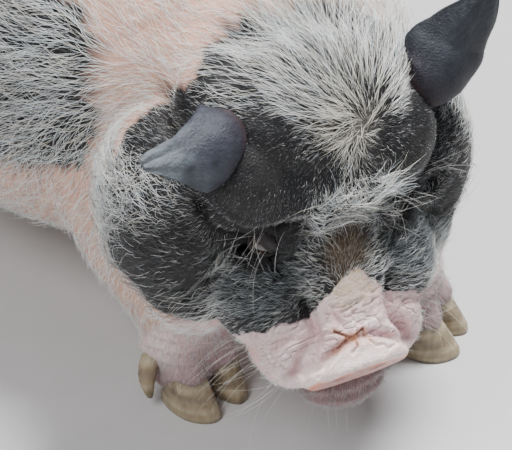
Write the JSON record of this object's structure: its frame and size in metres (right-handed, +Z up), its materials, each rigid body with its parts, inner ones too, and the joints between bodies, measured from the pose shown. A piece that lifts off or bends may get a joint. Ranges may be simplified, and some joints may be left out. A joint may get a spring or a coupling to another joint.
{
  "type": "pot bellied pig",
  "caption": "Life-size spotted pot bellied pig standing with its head lowered and turned, sagging belly, jowls, bristly coat and cloven feet.",
  "frame": {"origin": "on the floor under the middle of the pig's bounding box", "axes": "+Z up, -Y the way the pig's body faces, +X the pig's left side; the head is lowered and turned a little to the pig's right"},
  "size_m": [0.432, 0.9236, 0.4348],
  "materials": {
    "skin_dark": "short black and white bristle",
    "skin_pink": "bare pink skin under thin white bristle",
    "skin_grey": "fine grey down",
    "eye": "wet, polished",
    "horn": "dull, ridged"
  },
  "bodies": {
    "root": {"claw_fore_left_inner": "horn", "claw_fore_left_outer": "horn", "claw_fore_right_inner": "horn", "claw_fore_right_outer": "horn", "claw_hind_left_inner": "horn", "claw_hind_left_outer": "horn", "claw_hind_right_inner": "horn", "claw_hind_right_outer": "horn", "dewclaw_fore_left_inner": "horn", "dewclaw_fore_left_outer": "horn", "dewclaw_fore_right_inner": "horn", "dewclaw_fore_right_outer": "horn", "dewclaw_hind_left_inner": "horn", "dewclaw_hind_left_outer": "horn", "dewclaw_hind_right_inner": "horn", "dewclaw_hind_right_outer": "horn", "ear_left": "skin_grey", "ear_right": "skin_grey", "eye_left": "eye", "eye_right": "eye", "head": "skin_dark", "leg_fore_left": "skin_pink", "leg_fore_right": "skin_pink", "leg_hind_left": "skin_pink", "leg_hind_right": "skin_pink", "neck": "skin_pink", "tail": "skin_dark", "torso": "skin_dark"}
  },
  "joints": []
}
